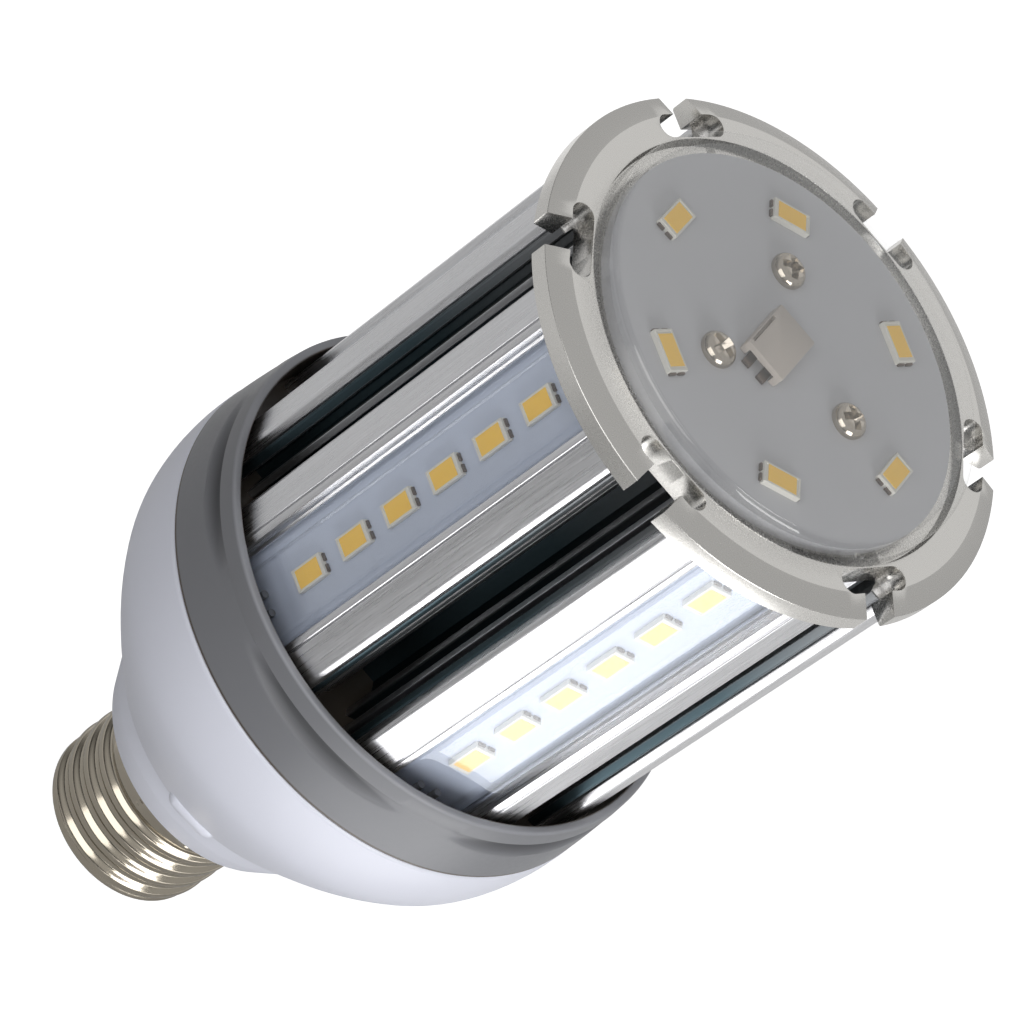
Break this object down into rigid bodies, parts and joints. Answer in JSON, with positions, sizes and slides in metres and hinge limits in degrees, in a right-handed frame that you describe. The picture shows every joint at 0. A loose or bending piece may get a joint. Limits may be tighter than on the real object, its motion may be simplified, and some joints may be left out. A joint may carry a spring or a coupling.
{
  "type": "screw-in led lamp",
  "caption": "Screw-in lamp with light-emitting strips round a finned metal body, a lit round head under a clear lens, a grey collar, a white bowl and a threaded metal base.",
  "frame": {"origin": "tip of the centre contact, on the lamp's axis", "axes": "+Z along the lamp's axis from the base to the head; -Y is the normal of the first strip's face; +X completes a right-handed frame"},
  "size_m": [0.074, 0.074, 0.1488],
  "materials": {
    "base_shell": "bright nickel plating",
    "base_insulator": "glossy black",
    "base_contact": "bright",
    "housing_white": "satin moulded",
    "collar_grey": "satin moulded",
    "extruded_aluminium": "extruded, lightly brushed along the axis",
    "cap_aluminium": "fine blasted and anodised",
    "clear_lens": "clear, polished",
    "clear_cover": "clear, polished",
    "head_board_white": "satin solder mask",
    "strip_board_white": "satin solder mask",
    "led_body": "moulded white",
    "led_phosphor": "soft yellow resin",
    "screw_nickel": "nickel plated",
    "connector_body": "moulded beige",
    "tinned_metal": "tinned",
    "driver_board_green": "solder mask",
    "ferrite": "matte",
    "coil_tape": "tape wound",
    "capacitor_sleeve": "shrink sleeve",
    "component_black": "moulded",
    "fuse_body": "matte",
    "lead_red": "insulated wire",
    "lead_white": "insulated wire"
  },
  "bodies": {
    "root": {"screw_shell": "base_shell", "base_insulator": "base_insulator", "centre_contact": "base_contact", "lower_housing": "housing_white", "collar_ring": "collar_grey", "heat_sink": "extruded_aluminium", "end_cap": "cap_aluminium", "head_lens": "clear_lens", "head_board": "head_board_white", "head_led_packages": "led_body", "head_led_phosphor": "led_phosphor", "head_screws": "screw_nickel", "head_connector": "connector_body", "connector_tabs": "tinned_metal", "strip_board_1": "strip_board_white", "strip_led_packages_1": "led_body", "strip_led_phosphor_1": "led_phosphor", "strip_cover_1": "clear_cover", "strip_board_2": "strip_board_white", "strip_led_packages_2": "led_body", "strip_led_phosphor_2": "led_phosphor", "strip_cover_2": "clear_cover", "strip_board_3": "strip_board_white", "strip_led_packages_3": "led_body", "strip_led_phosphor_3": "led_phosphor", "strip_cover_3": "clear_cover", "strip_board_4": "strip_board_white", "strip_led_packages_4": "led_body", "strip_led_phosphor_4": "led_phosphor", "strip_cover_4": "clear_cover", "strip_board_5": "strip_board_white", "strip_led_packages_5": "led_body", "strip_led_phosphor_5": "led_phosphor", "strip_cover_5": "clear_cover", "strip_board_6": "strip_board_white", "strip_led_packages_6": "led_body", "strip_led_phosphor_6": "led_phosphor", "strip_cover_6": "clear_cover", "collar_screws": "screw_nickel", "driver_screws": "screw_nickel", "driver_board": "driver_board_green", "transformer_core": "ferrite", "transformer_coil": "coil_tape", "input_capacitor": "capacitor_sleeve", "output_capacitor": "capacitor_sleeve", "choke": "ferrite", "rectifier": "component_black", "controller": "component_black", "fuse": "fuse_body", "input_leads": "lead_white", "output_leads": "lead_red", "strip_leads": "lead_white"}
  },
  "joints": []
}
